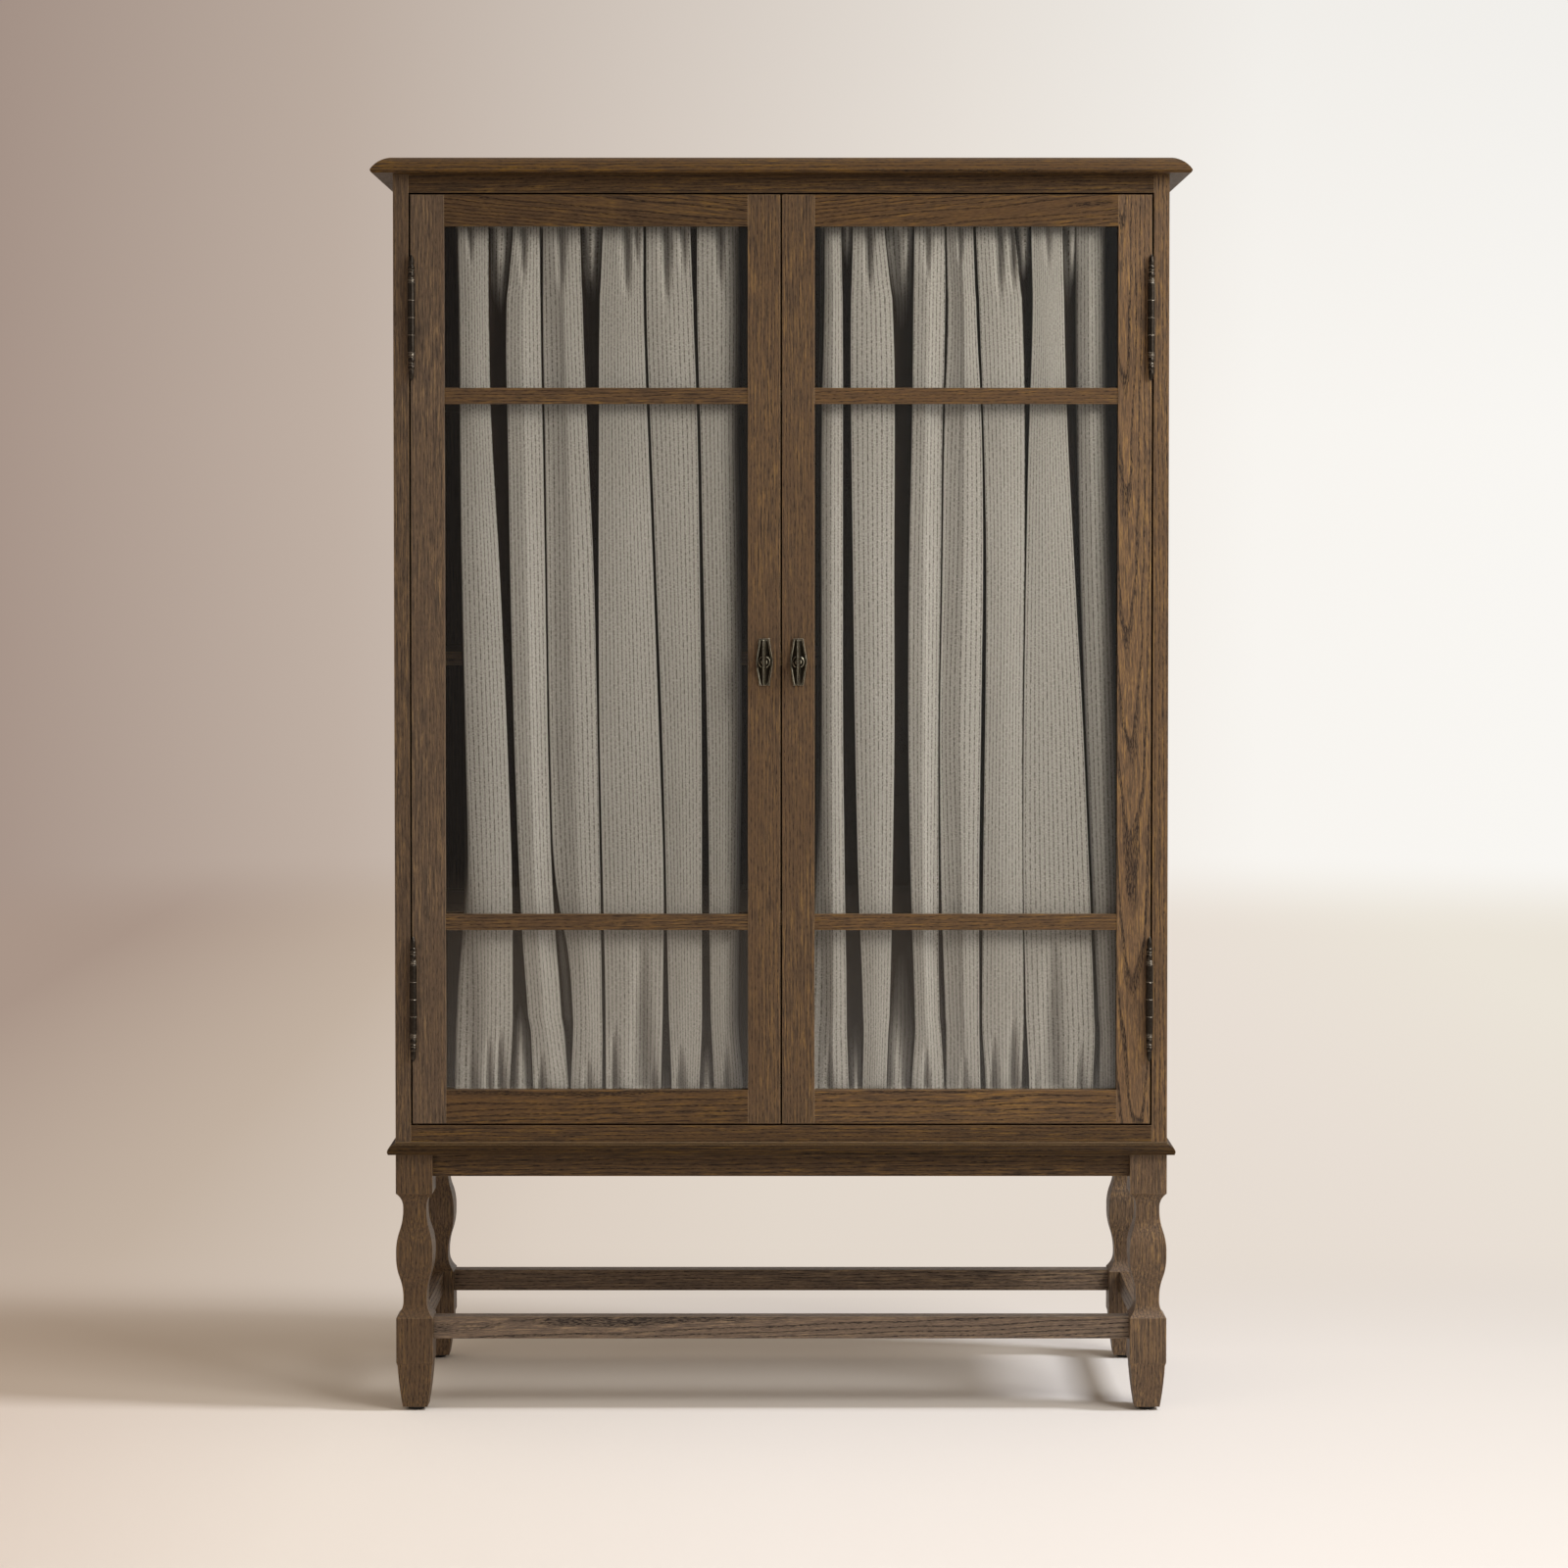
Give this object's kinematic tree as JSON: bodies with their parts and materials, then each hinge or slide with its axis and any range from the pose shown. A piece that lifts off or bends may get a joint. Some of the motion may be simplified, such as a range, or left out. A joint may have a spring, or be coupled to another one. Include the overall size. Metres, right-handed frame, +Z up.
{
  "type": "storage cabinet",
  "caption": "Tall dark oak storage cabinet with glazed, curtained doors on a stand of sawn, waisted legs joined by stretchers.",
  "frame": {"origin": "on the floor, under the middle of the overall box", "axes": "+Z up, +X to the right of someone facing the doors, +Y from the doors to the back"},
  "size_m": [1.22, 0.458, 1.88],
  "materials": {
    "oak": "satin, dark brown stain with open grain",
    "back_ply": "satin, dark brown stain",
    "glass": "clear, polished",
    "bronze": "antique bronze, rubbed",
    "steel": "bright zinc",
    "rod_steel": "dark bronze coat",
    "linen": "matt woven linen with fine dashed stripes",
    "glide_plastic": "black",
    "catch_plastic": "dark brown"
  },
  "bodies": {
    "case": {"back_apron": "oak", "back_left_leg": "oak", "back_panel": "back_ply", "back_right_leg": "oak", "back_stretcher": "oak", "base_moulding": "oak", "case_floor": "oak", "case_roof": "oak", "corner_blocks": "oak", "door_catches": "catch_plastic", "foot_glides": "glide_plastic", "frame_hinge_leaves": "bronze", "front_apron": "oak", "front_bottom_rail": "oak", "front_left_leg": "oak", "front_right_leg": "oak", "front_stretcher": "oak", "front_top_rail": "oak", "hinge_pins": "bronze", "left_apron": "oak", "left_back_post": "oak", "left_front_post": "oak", "left_side_panel": "oak", "left_side_rails": "oak", "left_stretcher": "oak", "lower_shelf": "oak", "middle_shelf": "oak", "right_apron": "oak", "right_back_post": "oak", "right_front_post": "oak", "right_side_panel": "oak", "right_side_rails": "oak", "right_stretcher": "oak", "shelf_pins": "steel", "top_board": "oak", "upper_shelf": "oak"},
    "left_door": {"left_door_bottom_rail": "oak", "left_door_curtain": "linen", "left_door_curtain_rods": "rod_steel", "left_door_glass": "glass", "left_door_glass_beads": "oak", "left_door_hinge_leaves": "bronze", "left_door_hinge_stile": "oak", "left_door_lock_stile": "oak", "left_door_muntins": "oak", "left_door_pull": "bronze", "left_door_strike_plate": "steel", "left_door_top_rail": "oak"},
    "right_door": {"right_door_bottom_rail": "oak", "right_door_curtain": "linen", "right_door_curtain_rods": "rod_steel", "right_door_glass": "glass", "right_door_glass_beads": "oak", "right_door_hinge_leaves": "bronze", "right_door_hinge_stile": "oak", "right_door_lock_stile": "oak", "right_door_muntins": "oak", "right_door_pull": "bronze", "right_door_strike_plate": "steel", "right_door_top_rail": "oak"}
  },
  "joints": [
    {"name": "left_door_hinge", "type": "hinge", "parent": "case", "child": "left_door", "pos_m": [-0.5515, -0.2028, 1.1325], "axis": [0, 0, -1], "range_deg": [0, 175]},
    {"name": "right_door_hinge", "type": "hinge", "parent": "case", "child": "right_door", "pos_m": [0.5515, -0.2028, 1.1325], "axis": [0, 0, 1], "range_deg": [0, 175]}
  ]
}
